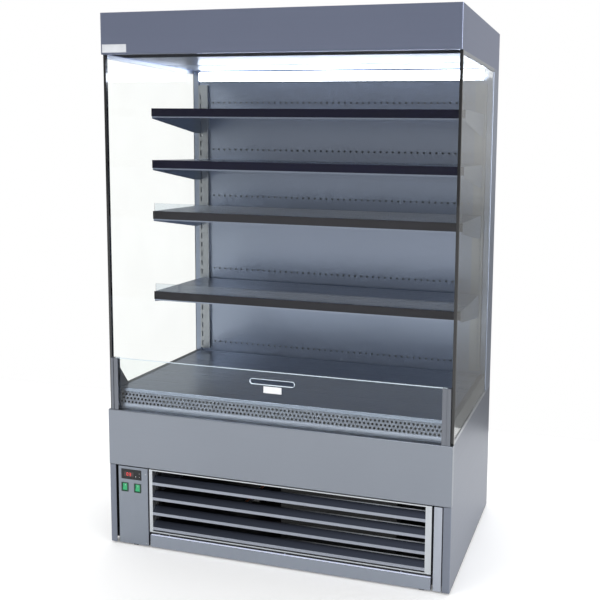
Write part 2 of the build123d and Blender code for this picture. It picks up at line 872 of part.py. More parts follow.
def riser():
    """Front riser: lift-out glass with a hand slot, and two grooved posts with gussets."""
    outside = channel_inside - post_gap
    inside = outside - post_width
    slot_end = inside + riser_bite
    slot_depth = riser_thickness + 2 * fit_gap
    with BuildPart() as posts:
        with BuildSketch(level(base_height)):
            with Locations((inside, post_setback)):
                Rectangle(post_width, post_depth, align=(Align.MIN, Align.MIN))
            with Locations((inside, riser_setback - fit_gap)):
                Rectangle(
                    riser_bite, slot_depth, align=(Align.MIN, Align.MIN), mode=Mode.SUBTRACT,
                )
            with Locations((slot_end, post_setback)):
                Rectangle(groove, groove / 2, align=(Align.MIN, Align.MIN), mode=Mode.SUBTRACT)
        extrude(amount=riser_height)
        gusset_top = deck_height + gusset_height
        post_back = post_setback + post_depth
        with BuildSketch(side_plane(skirt_inside)):
            with BuildLine():
                Polyline(
                    (post_back, deck_height), (post_back + gusset_reach, deck_height),
                    (post_back, gusset_top), close=True,
                )
            make_face()
        extrude(amount=sheet)
        mirror(about=Plane.YZ)
    keep(posts, "riser_posts")
    with BuildPart() as glass:
        with BuildSketch(front_plane(riser_setback)):
            with Locations((0, base_height)):
                Rectangle(
                    2 * (slot_end - 2 * fit_gap), riser_height, align=(Align.CENTER, Align.MIN),
                )
            with Locations((0, riser_top - hand_slot_drop)):
                SlotOverall(hand_slot_length, hand_slot_height, mode=Mode.SUBTRACT)
        extrude(amount=-riser_thickness)
    keep(glass, "riser_glass")


# ---------------------------------------------------------------- end glass and rear
def end_glass():
    """Two end glasses with channels along the bottom and the top and trims on the front edges."""
    middle = (glass_outside + glass_inside) / 2
    channel_width = 2 * (half_width - middle)
    glass_front = trim_setback + trim_depth - glass_bite
    glass_bottom = base_height + sheet
    glass_height = canopy_bottom - sheet - glass_bottom
    for label, x in (("end_glass_left", -glass_outside), ("end_glass_right", glass_inside)):
        with BuildPart() as glass:
            with BuildSketch(side_plane(x)):
                with Locations((glass_front, glass_bottom)):
                    Rectangle(
                        column_setback - glass_front, glass_height, align=(Align.MIN, Align.MIN),
                    )
            extrude(amount=glass_thickness)
        keep(glass, label)
    with BuildPart() as channels:
        with BuildSketch(front_plane(trim_setback + trim_depth)):
            for bottom in (base_height, canopy_bottom - channel_height):
                with Locations((middle, bottom)):
                    Rectangle(channel_width, channel_height, align=(Align.CENTER, Align.MIN))
            with Locations((middle, glass_bottom)):
                Rectangle(
                    glass_thickness, glass_height,
                    align=(Align.CENTER, Align.MIN), mode=Mode.SUBTRACT,
                )
        extrude(amount=-(column_setback - trim_setback - trim_depth))
        mirror(about=Plane.YZ)
    keep(channels, "glass_channels")
    with BuildPart() as trims:
        with BuildSketch(level(base_height)):
            with Locations((middle, trim_setback)):
                Rectangle(channel_width, trim_depth, align=(Align.CENTER, Align.MIN))
            with Locations((middle, glass_front)):
                Rectangle(
                    glass_thickness, glass_bite, align=(Align.CENTER, Align.MIN), mode=Mode.SUBTRACT,
                )
        extrude(amount=canopy_bottom - base_height)
        mirror(about=Plane.YZ)
    keep(trims, "glass_edge_trims")


def rear_columns():
    """Two folded corner columns between the base and the canopy."""
    outline = [
        (inner_half, cabinet_depth - sheet), (inner_half, column_setback),
        (half_width, column_setback), (half_width, cabinet_depth),
        (inner_half + 2 * bend, cabinet_depth),
    ]
    right = folded(level(base_height), outline, Side.RIGHT, canopy_bottom - base_height)
    with BuildPart() as columns:
        add(right.part)
        mirror(about=Plane.YZ)
    keep(columns, "rear_columns")


def back_wall():
    """Insulated back wall between the columns, from the plinth to the roof."""
    with BuildPart() as wall:
        with BuildSketch(level(plinth_height)):
            with Locations((0, back_wall_setback)):
                Rectangle(
                    2 * inner_half, back_wall_thickness, align=(Align.CENTER, Align.MIN),
                )
        extrude(amount=roof_bottom - plinth_height)
    keep(wall, "back_wall")


def inner_back_panel():
    """Front sheet of the air duct, with rows of air slots and a ledge for the deck."""
    outline = [
        (duct_setback - 2 * hem, return_top), (duct_setback, return_top),
        (duct_setback, soffit_top),
    ]
    blank = folded(side_plane(-liner_half), outline, Side.RIGHT, 2 * liner_half, rounded=False)
    columns = int(2 * (upright_centre - upright_width) / hole_pitch)
    with BuildPart() as panel:
        add(blank.part)
        with BuildSketch(front_plane(duct_setback)):
            for shelf in [deck_height, *shelf_levels]:
                with Locations((0, shelf + hole_rise)):
                    with GridLocations(hole_pitch, 1, columns, 1):
                        Rectangle(hole_width, hole_height)
        extrude(amount=-sheet, mode=Mode.SUBTRACT)
    keep(panel, "inner_back_panel")


def shelf_uprights():
    """Two slotted channels on the inner back panel."""
    left = upright_centre - upright_width / 2
    right = upright_centre + upright_width / 2
    outline = [
        (right, duct_setback), (right, upright_face), (left, upright_face), (left, duct_setback),
    ]
    height = upright_top - upright_bottom
    blank = folded(level(upright_bottom), outline, Side.RIGHT, height, rounded=False)
    with BuildPart() as uprights:
        add(blank.part)
        with BuildSketch(front_plane(upright_face)):
            for number in range(slot_count):
                with Locations((bracket_middle, first_seat + number * slot_pitch)):
                    Rectangle(slot_width, slot_height, align=(Align.CENTER, Align.MIN))
        extrude(amount=-sheet, mode=Mode.SUBTRACT)
        mirror(about=Plane.YZ)
    keep(uprights, "shelf_uprights")


# ---------------------------------------------------------------- shelves
def shelf_brackets(label, shelf):
    """A pair of tapered brackets, each with two hooks behind the upright and a ledge."""
    outer = bracket_middle + bracket_plate / 2
    inner = bracket_middle - bracket_plate / 2
    hook_back = upright_face + sheet + fit_gap + hook_thickness
    seats = (shelf - hook_drop, shelf - hook_drop - slot_pitch)
    with BuildPart() as brackets:
        with BuildSketch(side_plane(inner)):
            with BuildLine():
                Polyline(
                    (shelf_setback, shelf), (shelf_setback, shelf - bracket_front),
                    (shelf_setback + bracket_taper, shelf - bracket_rear),
                    (bracket_rear_setback, shelf - bracket_rear), (bracket_rear_setback, shelf),
                    close=True,
                )
            make_face()
            for seat in seats:
                with Locations((bracket_rear_setback, seat)):
                    Rectangle(hook_back - bracket_rear_setback, hook_neck, align=(Align.MIN, Align.MIN))
                with Locations((hook_back, seat)):
                    Rectangle(hook_thickness, hook_leg, align=(Align.MAX, Align.MAX))
        extrude(amount=bracket_plate)
        with BuildSketch(level(shelf - 2 * sheet)):
            with Locations((inner - bracket_ledge, shelf_setback + 2 * sheet)):
                Rectangle(
                    bracket_ledge, bracket_rear_setback - shelf_setback - 4 * sheet,
                    align=(Align.MIN, Align.MIN),
                )
        extrude(amount=sheet)
        mirror(about=Plane.YZ)
    keep(brackets, label)


def shelf_set(number, shelf, has_riser):
    """One lift-off shelf: tray, brackets, ticket strip and, on the lower ones, a clear riser."""
    tray_half = bracket_middle - bracket_plate / 2
    outline = [
        (shelf_setback, shelf - shelf_lip), (shelf_setback, shelf),
        (bracket_rear_setback, shelf), (bracket_rear_setback, shelf - hem),
    ]
    keep(folded(side_plane(-tray_half), outline, Side.RIGHT, 2 * tray_half), f"shelf_{number}_tray")
    shelf_brackets(f"shelf_{number}_brackets", shelf)
    with BuildPart() as strip:
        with BuildSketch(side_plane(-shelf_half_width)):
            with Locations((shelf_setback, shelf)):
                Rectangle(strip_depth, strip_height, align=(Align.MAX, Align.MAX))
            with Locations((shelf_setback - strip_wall, shelf)):
                Rectangle(
                    strip_depth - 2 * strip_wall, strip_height - strip_wall,
                    align=(Align.MAX, Align.MAX), mode=Mode.SUBTRACT,
                )
        extrude(amount=2 * shelf_half_width)
    keep(strip, f"shelf_{number}_ticket_strip")
    if has_riser:
        with BuildPart() as clear:
            with BuildSketch(side_plane(-tray_half)):
                with Locations((shelf_setback + bend, shelf)):
                    Rectangle(
                        clear_riser_thickness, clear_riser_rise, align=(Align.MIN, Align.MIN),
                    )
            extrude(amount=2 * tray_half)
        keep(clear, f"shelf_{number}_riser")


# ---------------------------------------------------------------- canopy and lamp
def canopy_shell():
    """Folded canopy: front and sides in one, inward lips along the bottom, rear flanges."""
    outline = [
        (inner_half, cabinet_depth), (half_width, cabinet_depth), (half_width, canopy_setback),
        (-half_width, canopy_setback), (-half_width, cabinet_depth), (-inner_half, cabinet_depth),
    ]
    skin = folded(level(canopy_bottom), outline, Side.RIGHT, canopy_drop)
    lip_front = canopy_setback + sheet
    depth = cabinet_depth - sheet - lip_front
    with BuildPart() as shell:
        add(skin.part)
        with BuildSketch(level(canopy_bottom)):
            with Locations((0, lip_front)):
                Rectangle(2 * skin_inside, depth, align=(Align.CENTER, Align.MIN))
            with Locations((0, canopy_setback + canopy_lip)):
                Rectangle(
                    2 * (half_width - canopy_hem), cabinet_depth,
                    align=(Align.CENTER, Align.MIN), mode=Mode.SUBTRACT,
                )
        extrude(amount=sheet)
    keep(shell, "canopy_shell")


def canopy_roof():
    """Insulated roof panel inside the top of the canopy."""
    roof_front = canopy_setback + sheet
    with BuildPart() as roof:
        with BuildSketch(level(roof_bottom)):
            with Locations((0, roof_front)):
                Rectangle(
                    2 * skin_inside, cabinet_depth - sheet - roof_front,
                    align=(Align.CENTER, Align.MIN),
                )
        extrude(amount=cabinet_height - roof_bottom)
        chamfer(roof.edges().filter_by(Axis.Z), length=bend)
    keep(roof, "canopy_roof")


def canopy_soffit():
    """Soffit on the canopy's lips: upturned front, flat, then pressed swages at the back."""
    base = canopy_bottom + sheet
    outline = [(soffit_setback, roof_bottom), (soffit_setback, base)]
    for number in range(swage_count):
        start = swage_start + number * swage_pitch
        outline += [
            (start, base), (start + swage_depth, base + swage_depth),
            (start + swage_pitch / 2, base + swage_depth),
            (start + swage_pitch / 2 + swage_depth, base),
        ]
    outline.append((duct_setback, base))
    width = 2 * (skin_inside - fit_gap)
    soffit = folded(side_plane(-width / 2), outline, Side.LEFT, width, rounded=False)
    keep(soffit, "canopy_soffit")


def air_honeycomb():
    """Air outlet comb that lies on the canopy's lips behind its front."""
    width = 2 * (skin_inside - bend)
    columns = int(width / cell_pitch)
    cell = width / columns
    with BuildPart() as comb:
        with BuildSketch(level(canopy_bottom + sheet)):
            with Locations((0, comb_setback + comb_depth / 2)):
                Rectangle(width, comb_depth)
                with GridLocations(cell, comb_depth / 2, columns, 2):
                    Rectangle(cell - comb_wall, comb_depth / 2 - comb_wall, mode=Mode.SUBTRACT)
        extrude(amount=comb_height)
    keep(comb, "air_honeycomb")


def lamp():
    """Lamp batten on the back panel under the canopy, with a rounded clear cover."""
    top = canopy_bottom - lamp_drop
    middle = top - lamp_height / 2
    joint = duct_setback - lamp_depth + diffuser_depth
    with BuildPart() as batten:
        with BuildSketch(side_plane(-lamp_half)):
            with Locations((duct_setback, middle)):
                Rectangle(lamp_depth - diffuser_depth, lamp_height, align=(Align.MAX, Align.CENTER))
        extrude(amount=2 * lamp_half)
    keep(batten, "light_batten")
    with BuildPart() as cover:
        with BuildSketch(side_plane(-lamp_half)):
            with BuildLine():
                ThreePointArc(
                    (joint, middle - lamp_height / 2), (joint - diffuser_depth, middle),
                    (joint, middle + lamp_height / 2),
                )
                Line((joint, middle + lamp_height / 2), (joint, middle - lamp_height / 2))
            make_face()
        extrude(amount=2 * lamp_half)
    keep(cover, "light_diffuser")


chassis_frame()
levelling_feet()
base_sides()
front_fascia()
control_panel()
thermostat()
thermostat_keys()
rocker_switches()
keep(plinth_plate(grille_left, grille_right, floor_gap, floor_gap + kick_height), "kick_rail")
keep(plinth_plate(end_strip_left, end_strip_right, floor_gap, grille_top), "end_strip")
louvre_grille()
fans_and_motors()
condenser()
compressor()
refrigerant_pipes()
drain_tray()
rear_grille()
insulated_tub()
fan_plate()
evaporator_coil()
air_return_grille()
deck_panel()
riser()
end_glass()
rear_columns()
back_wall()
inner_back_panel()
shelf_uprights()
for place, shelf_level in enumerate(reversed(shelf_levels)):
    shelf_set(place + 1, shelf_level, has_riser=place > 1)
canopy_shell()
canopy_roof()
canopy_soffit()
air_honeycomb()
lamp()
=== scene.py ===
import math

import bmesh
import bpy
from mathutils import Matrix, Vector


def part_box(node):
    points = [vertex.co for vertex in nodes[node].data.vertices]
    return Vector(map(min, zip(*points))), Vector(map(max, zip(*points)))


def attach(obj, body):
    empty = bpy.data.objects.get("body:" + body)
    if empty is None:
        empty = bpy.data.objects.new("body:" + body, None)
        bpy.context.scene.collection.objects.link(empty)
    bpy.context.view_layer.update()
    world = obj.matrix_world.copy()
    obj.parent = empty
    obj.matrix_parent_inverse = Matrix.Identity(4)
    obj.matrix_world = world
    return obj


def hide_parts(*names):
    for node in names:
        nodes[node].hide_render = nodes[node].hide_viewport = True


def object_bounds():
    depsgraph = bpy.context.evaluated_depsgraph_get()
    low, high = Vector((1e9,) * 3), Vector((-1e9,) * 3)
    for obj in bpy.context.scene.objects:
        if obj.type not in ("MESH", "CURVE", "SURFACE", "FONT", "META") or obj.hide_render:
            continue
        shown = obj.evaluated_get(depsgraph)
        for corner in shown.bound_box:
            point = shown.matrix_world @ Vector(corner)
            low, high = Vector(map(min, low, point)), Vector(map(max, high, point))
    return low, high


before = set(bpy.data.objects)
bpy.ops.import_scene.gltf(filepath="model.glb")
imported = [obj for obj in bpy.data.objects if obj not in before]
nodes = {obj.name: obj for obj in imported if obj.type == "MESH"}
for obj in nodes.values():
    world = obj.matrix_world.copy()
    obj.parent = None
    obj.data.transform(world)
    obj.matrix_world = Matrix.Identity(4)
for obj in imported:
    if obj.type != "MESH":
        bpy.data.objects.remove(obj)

cad_low, cad_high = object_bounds()
MM = 0.001
FRONT = cad_low.y                     # the front plane
SHEET = 1.5 * MM                      # thickness of the folded sheets
HAIR = 0.02 * MM                      # keeps faces apart that would lie in one plane
SHELVES = (1, 2, 3, 4)                # from the top down


# ---------------------------------------------------------------- colours
def srgb(red, green, blue):
    """A linear colour from 0 to 255 screen values."""
    def channel(value):
        value /= 255
        return value / 12.92 if value <= 0.04045 else ((value + 0.055) / 1.055) ** 2.4
    return (channel(red), channel(green), channel(blue), 1.0)


def shade(colour, factor):
    """The same colour, lighter or darker."""
    return tuple(min(1.0, value * factor) for value in colour[:3]) + (1.0,)


# one stainless steel in several tones, painted lighter or darker by place as painted light and shade
STEEL = srgb(146, 152, 162)
CANOPY_STEEL = srgb(140, 148, 172)
BASE_STEEL = srgb(130, 136, 149)
PLINTH_STEEL = srgb(146, 153, 164)
LINER_STEEL = srgb(150, 160, 178)
ZINC = srgb(168, 172, 176)
WHITE = (1, 1, 1, 1)


# ---------------------------------------------------------------- node trees
class Nodes:
    """A node tree, with short ways to add and link its nodes."""

    def __init__(self, tree):
        self.tree = tree

    def add(self, kind, **settings):
        node = self.tree.nodes.new(kind)
        for key, value in settings.items():
            setattr(node, key, value)
        return node

    def link(self, source, target):
        self.tree.links.new(source, target)

    def feed(self, socket, value):
        """Give a socket a plain number or another node's output."""
        if isinstance(value, (int, float)):
            socket.default_value = value
        else:
            self.link(value, socket)

    def maths(self, operation, *values, clamp=False):
        """The result of a sum or the like of numbers and outputs."""
        node = self.add("ShaderNodeMath", operation=operation, use_clamp=clamp)
        for socket, value in zip(node.inputs, values):
            self.feed(socket, value)
        return node.outputs["Value"]


class Finish(Nodes):
    """A node material with its Principled shader at hand."""

    def __init__(self, name):
        self.material = bpy.data.materials.new(name)
        self.material.use_nodes = True
        super().__init__(self.material.node_tree)
        self.shader = self.tree.nodes["Principled BSDF"]
        self.place = self.add("ShaderNodeTexCoord")

    def set(self, **values):
        """Set inputs of the shader to plain values."""
        for key, value in values.items():
            self.shader.inputs[key.replace("_", " ")].default_value = value

    def drive(self, name, source):
        """Let an output set an input of the shader."""
        self.link(source, self.shader.inputs[name])

    def stretched(self, scale=(1, 1, 1)):
        """Object coordinates stretched along the axes."""
        mapping = self.add("ShaderNodeMapping")
        mapping.inputs["Scale"].default_value = scale
        self.link(self.place.outputs["Object"], mapping.inputs["Vector"])
        return mapping.outputs["Vector"]

    def noise(self, vector, scale, detail=4.0):
        texture = self.add("ShaderNodeTexNoise")
        texture.inputs["Scale"].default_value = scale
        texture.inputs["Detail"].default_value = detail
        self.link(vector, texture.inputs["Vector"])
        return texture.outputs["Fac"]

    def ramp(self, value, low, high, start=0.3, end=0.7):
        """A colour between two, as the value goes from start to end."""
        ramp = self.add("ShaderNodeValToRGB")
        ramp.color_ramp.elements[0].position = start
        ramp.color_ramp.elements[1].position = end
        ramp.color_ramp.elements[0].color = low
        ramp.color_ramp.elements[1].color = high
        self.link(value, ramp.inputs["Fac"])
        return ramp.outputs["Color"]

    def grey(self, value, low, high, start=0.3, end=0.7):
        """A number between two, as the value goes from start to end."""
        return self.ramp(value, (low, low, low, 1), (high, high, high, 1), start, end)

    def mix(self, factor, first, second):
        mix = self.add("ShaderNodeMix", data_type="RGBA")
        self.feed(mix.inputs["Factor"], factor)
        self.link(first, mix.inputs[6])
        self.link(second, mix.inputs[7])
        return mix.outputs[2]

    def bump(self, height, strength, distance):
        bump = self.add("ShaderNodeBump")
        bump.inputs["Strength"].default_value = strength
        bump.inputs["Distance"].default_value = distance
        self.link(height, bump.inputs["Height"])
        self.drive("Normal", bump.outputs["Normal"])


# ---------------------------------------------------------------- finishes
LEVEL_GRAIN = (0.4, 0.4, 800)         # brushing that runs level on upright faces
WIDTH_GRAIN = (0.4, 800, 800)         # brushing that runs along the width, also on level faces
DEPTH_GRAIN = (900, 3, 3)             # brushing that runs across the width
UPRIGHT_GRAIN = (900, 900, 3)         # drawn aluminium that stands


def steel(name, colour, grain=LEVEL_GRAIN, roughness=0.34):
    """Brushed stainless sheet: fine streaks, soft clouds and faint handling marks."""
    finish = Finish(name)
    streaks = finish.noise(finish.stretched(grain), 1.0, 6.0)
    clouds = finish.noise(finish.stretched(), 2.2, 3.0)
    streaked = finish.ramp(streaks, shade(colour, 0.97), shade(colour, 1.03))
    clouded = finish.ramp(clouds, shade(colour, 0.95), shade(colour, 1.03))
    finish.drive("Base Color", finish.mix(0.5, streaked, clouded))
    finish.drive("Roughness", finish.grey(streaks, roughness - 0.02, roughness + 0.03))
    finish.bump(streaks, 0.02, 0.0002)
    finish.set(Metallic=0.92)
    return finish.material


def louvre_steel(name, lip_lit, slope_shaded, crease_highlight):
    """Brushed steel with painted light and shade: lips painted light, slopes painted dark, and a painted
    highlight on the creases that grows toward the right.
    """
    finish = Finish(name)
    streaks = finish.noise(finish.stretched(LEVEL_GRAIN), 1.0, 6.0)
    geometry = finish.add("ShaderNodeNewGeometry")
    facing = finish.add("ShaderNodeSeparateXYZ")
    finish.link(geometry.outputs["Normal"], facing.inputs["Vector"])
    # painted light and shade by facing: upright lips light, sloping faces dark
    shade_by_facing = finish.grey(finish.maths("ABSOLUTE", facing.outputs["Z"]), 0.0, 1.0, 0.15, 0.6)
    lit_lip_colours = finish.ramp(streaks, shade(lip_lit, 0.94), shade(lip_lit, 1.05))
    shaded_slope_colours = finish.ramp(streaks, shade(slope_shaded, 0.8), shade(slope_shaded, 1.2))
    # painted highlight: creases that face nearly up turn bright and less metallic, more so toward the right
    crease_highlight_colours = finish.ramp(streaks, shade(crease_highlight, 0.96), crease_highlight)
    place = finish.add("ShaderNodeSeparateXYZ")
    finish.link(finish.place.outputs["Object"], place.inputs["Vector"])
    highlight_rightward = finish.grey(place.outputs["X"], 0.0, 1.0, 0.0, 0.35)
    crease_facing = finish.grey(facing.outputs["Z"], 0.0, 1.0, 0.88, 0.94)
    painted_crease_highlight = finish.maths("MULTIPLY", highlight_rightward, crease_facing)
    finish.drive("Base Color", finish.mix(painted_crease_highlight, finish.mix(shade_by_facing, lit_lip_colours, shaded_slope_colours), crease_highlight_colours))
    metal = finish.add("ShaderNodeMapRange")
    metal.inputs["To Min"].default_value = 0.9
    metal.inputs["To Max"].default_value = 0.2
    finish.link(painted_crease_highlight, metal.inputs["Value"])
    finish.drive("Metallic", metal.outputs["Result"])
    finish.set(Roughness=0.36)
    return finish.material


def zinc(name, colour):
    """Galvanised sheet: pale spangle of crystals, satin."""
    finish = Finish(name)
    cells = finish.add("ShaderNodeTexVoronoi", feature="F1")
    cells.inputs["Scale"].default_value = 80.0
    finish.link(finish.place.outputs["Object"], cells.inputs["Vector"])
    bright = finish.add("ShaderNodeSeparateColor")
    finish.link(cells.outputs["Color"], bright.inputs["Color"])
    tint = finish.ramp(bright.outputs["Red"], shade(colour, 0.92), shade(colour, 1.05), 0.1, 0.9)
    finish.drive("Base Color", tint)
    finish.drive("Roughness", finish.grey(bright.outputs["Green"], 0.38, 0.52, 0.1, 0.9))
    finish.bump(finish.noise(finish.stretched(), 60.0), 0.08, 0.0005)
    finish.set(Metallic=0.75)
    return finish.material


def moulded(name, colour, roughness=0.45, grain=0.1, coat=0.0, gloss=0.5):
    """Moulded plastic or paint with a fine orange-peel grain and slight colour drift."""
    finish = Finish(name)
    drift = finish.noise(finish.stretched(), 14.0)
    finish.drive("Base Color", finish.ramp(drift, shade(colour, 0.85), shade(colour, 1.12)))
    finish.drive("Roughness", finish.grey(drift, roughness - 0.05, roughness + 0.07))
    finish.bump(finish.noise(finish.stretched(), 900.0), grain, 0.0002)
    finish.set(Coat_Weight=coat, Specular_IOR_Level=gloss)
    return finish.material


def clear(name, colour, roughness=0.02, bending=1.45):
    """Clear sheet that lets light straight through, with smudges in its gloss."""
    finish = Finish(name)
    smudges = finish.noise(finish.stretched(), 6.0, 8.0)
    finish.drive("Roughness", finish.grey(smudges, roughness, roughness + 0.05, 0.45, 0.75))
    finish.drive("Base Color", finish.ramp(smudges, shade(colour, 0.97), colour))
    finish.set(Transmission_Weight=1.0, IOR=bending)
    return finish.material


def glowing(name, colour, strength, body=None):
    """A lit surface with a slightly uneven glow; on edges that are no lamps the glow is a painted highlight.
    """
    finish = Finish(name)
    drift = finish.noise(finish.stretched(), 20.0)
    finish.drive("Emission Color", finish.ramp(drift, shade(colour, 0.9), colour))
    finish.set(Emission_Strength=strength, Base_Color=body or colour, Roughness=0.3)
    return finish.material


MATERIALS = {
    # stainless sheet, in lit and shaded copies: each tone is painted light or shade for how the light falls
    # on its place
    "canopy": steel("canopy_stainless", CANOPY_STEEL),
    "base": steel("base_stainless", BASE_STEEL),
    "plinth": steel("plinth_stainless", PLINTH_STEEL),
    "fascia": steel("fascia_stainless", STEEL, roughness=0.3),
    "stile": steel("stile_stainless", srgb(206, 211, 216), roughness=0.3),
    "kick": steel("kick_stainless", srgb(158, 165, 177)),
    "end": steel("end_stainless", srgb(182, 188, 199)),
    "inside": steel("inside_stainless", LINER_STEEL, roughness=0.3),
    "deck": steel("deck_stainless", LINER_STEEL, WIDTH_GRAIN, 0.28),
    # the tub's steel darkened: painted shade for its closed, unlit inside
    "tub": steel("tub_stainless_painted_shade", srgb(104, 108, 114), roughness=0.4),
    "return": steel("return_stainless", srgb(174, 181, 198), roughness=0.3),
    # louvre blades: painted light on the lips, painted shade on the slopes, painted highlight on the creases
    "blade": louvre_steel("blade_painted_light_and_shade", srgb(168, 174, 186), srgb(40, 44, 54), srgb(232, 238, 246)),
    # other metal
    "aluminium": steel("satin_aluminium", srgb(176, 180, 186), DEPTH_GRAIN, 0.3),
    "upright_aluminium": steel("upright_aluminium", srgb(160, 165, 170), UPRIGHT_GRAIN, 0.32),
    "post_aluminium": steel("post_aluminium", srgb(124, 128, 136), UPRIGHT_GRAIN, 0.32),
    "fins": steel("fin_aluminium", srgb(120, 124, 130), DEPTH_GRAIN, 0.36),
    "copper": steel("copper_tube", srgb(150, 88, 58), (60, 60, 60), 0.3),
    "screw": steel("screw_steel", srgb(182, 186, 192), (40, 40, 40), 0.28),
    "zinc": zinc("galvanised_sheet", ZINC),
    # plastic, rubber and paint
    "black": moulded("black_plastic", srgb(24, 25, 28), 0.42),
    "gloss_black": moulded("gloss_black", srgb(14, 15, 18), 0.16, 0.02, 0.6),
    "rubber": moulded("black_rubber", srgb(20, 20, 21), 0.62, 0.2),
    "enamel": moulded("black_enamel", srgb(18, 18, 20), 0.22, 0.05, 0.7),
    "comb": moulded("comb_plastic", srgb(52, 55, 62), 0.5),
    # condenser fins near black: painted shade for the dark behind the grille
    "fins_dark_as_painted_shade": moulded("fins_dark_as_painted_shade", srgb(14, 15, 17), 0.5),
    # chassis steel near black: painted shade for the dark seen through the gaps at the grille
    "dark_metal": moulded("chassis_steel_dark_as_painted_shade", srgb(22, 23, 26), 0.5, 0.1),
    "navy": moulded("navy_strip", srgb(8, 9, 34), 0.6, 0.02, gloss=0.3),
    "olive": moulded("grey_strip", srgb(34, 34, 39), 0.6, 0.02),
    "dark_green": moulded("dark_green_rim", srgb(18, 58, 40), 0.3, 0.05, 0.4),
    "window": moulded("smoked_window", srgb(36, 6, 8), 0.1, 0.02, 0.8),
    "plate": moulded("bare_plate", srgb(196, 199, 204), 0.4, 0.03),
    "white": moulded("bare_tag", srgb(226, 228, 230), 0.4, 0.03, 0.2),
    # clear sheet
    "glass": clear("end_glass", srgb(252, 254, 252), 0.005, 1.25),
    "riser_glass": clear("riser_glass", srgb(250, 253, 252), 0.005, 1.3),
    "acrylic": clear("clear_acrylic", srgb(232, 238, 242), 0.05),
    # lit surfaces, and edges whose glow is a painted highlight
    "lamp": glowing("lamp_cover", srgb(236, 243, 255), 14.0),
    # riser glass edges: their glow is a painted highlight
    "edge": glowing("polished_edge_painted_highlight", srgb(224, 232, 240), 0.55, srgb(205, 215, 220)),
    # folded edges on the return and the kick rail: their glow is a painted highlight
    "edge_glow_painted_highlight": glowing("folded_edge_painted_highlight", srgb(214, 222, 255), 0.4, srgb(225, 230, 242)),
    "green": glowing("green_rocker", srgb(60, 176, 120), 0.45, srgb(40, 130, 85)),
    "red": glowing("red_digits", srgb(255, 60, 60), 1.6, srgb(120, 10, 8)),
}

NODE_FINISH = {
    "canopy_shell": "canopy", "canopy_roof": "zinc", "canopy_soffit": "inside",
    "air_honeycomb": "comb", "light_batten": "aluminium", "light_diffuser": "lamp",
    "back_wall": "zinc", "rear_columns": "inside", "inner_back_panel": "inside",
    "shelf_uprights": "upright_aluminium", "end_glass_left": "glass", "end_glass_right": "glass",
    "glass_edge_trims": "gloss_black", "glass_channels": "aluminium", "riser_glass": "riser_glass",
    "riser_posts": "post_aluminium", "air_return_grille": "inside", "deck_panel": "deck",
    "front_fascia": "fascia", "base_sides": "base", "control_panel": "plinth", "kick_rail": "kick",
    "end_strip": "end", "louvre_frame": "stile", "louvre_blades": "blade",
    "chassis_frame": "dark_metal", "levelling_feet": "rubber",
    "thermostat": "black", "key_up": "black", "key_down": "black", "key_set": "black",
    "rocker_bodies": "dark_green", "power_rocker": "green", "light_rocker": "green",
    "condenser": "fins_dark_as_painted_shade", "condenser_fan": "black", "fan_motors": "black",
    "compressor": "enamel", "refrigerant_pipes": "copper", "drain_tray": "zinc", "rear_grille": "zinc",
    "insulated_tub": "tub", "evaporator_coil": "fins", "fan_plate": "zinc",
    "evaporator_fan_left": "black", "evaporator_fan_right": "black",
}
for number in SHELVES:
    NODE_FINISH[f"shelf_{number}_tray"] = "deck"
    NODE_FINISH[f"shelf_{number}_brackets"] = "inside"
    NODE_FINISH[f"shelf_{number}_ticket_strip"] = "navy" if number < 3 else "olive"
    NODE_FINISH[f"shelf_{number}_riser"] = "acrylic"

for name, piece in nodes.items():
    piece.data.materials.clear()
    piece.data.materials.append(MATERIALS[NODE_FINISH[name]])


# ---------------------------------------------------------------- piece makers
def made(name, mesh, finish, body):
    """Link a finished bmesh as a piece that rides on a body."""
    data = bpy.data.meshes.new(name)
    bmesh.ops.recalc_face_normals(mesh, faces=mesh.faces[:])
    mesh.to_mesh(data)
    mesh.free()
    data.materials.append(MATERIALS[finish])
    piece = bpy.data.objects.new(name, data)
    bpy.context.scene.collection.objects.link(piece)
    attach(piece, body)
    return piece


def slab(mesh, low, high, rounding=0.0):
    """Add a block between two corners, with its edges rounded."""
    low, high = Vector(low), Vector(high)
    size = high - low
    place = Matrix.Translation((low + high) / 2) @ Matrix.Diagonal((*size, 1))
    corners = bmesh.ops.create_cube(mesh, size=1, matrix=place)["verts"]
    if rounding:
        edges = {edge for corner in corners for edge in corner.link_edges}
        bmesh.ops.bevel(
            mesh, geom=list(edges), offset=rounding, segments=3, affect="EDGES", profile=0.5,
        )


def band(mesh, first, second):
    """Add the faces between two closed rings of as many points."""
    for k in range(len(first)):
        n = (k + 1) % len(first)
        mesh.faces.new((first[k], first[n], second[n], second[k]))


def smooth(piece, angle=35):
    """Smooth shading with hard edges kept."""
    for face in piece.data.polygons:
        face.use_smooth = True
    piece.data.set_sharp_from_angle(angle=math.radians(angle))


# ---------------------------------------------------------------- perforated sheets
def plain(mesh, corner, along, up, back):
    """Add one plain block of sheet from a corner and its three edges."""
    near = [mesh.verts.new(corner + offset) for offset in (Vector(), along, along + up, up)]
    far = [mesh.verts.new(vert.co + back) for vert in near]
    mesh.faces.new(near)
    mesh.faces.new(far)
    band(mesh, near, far)


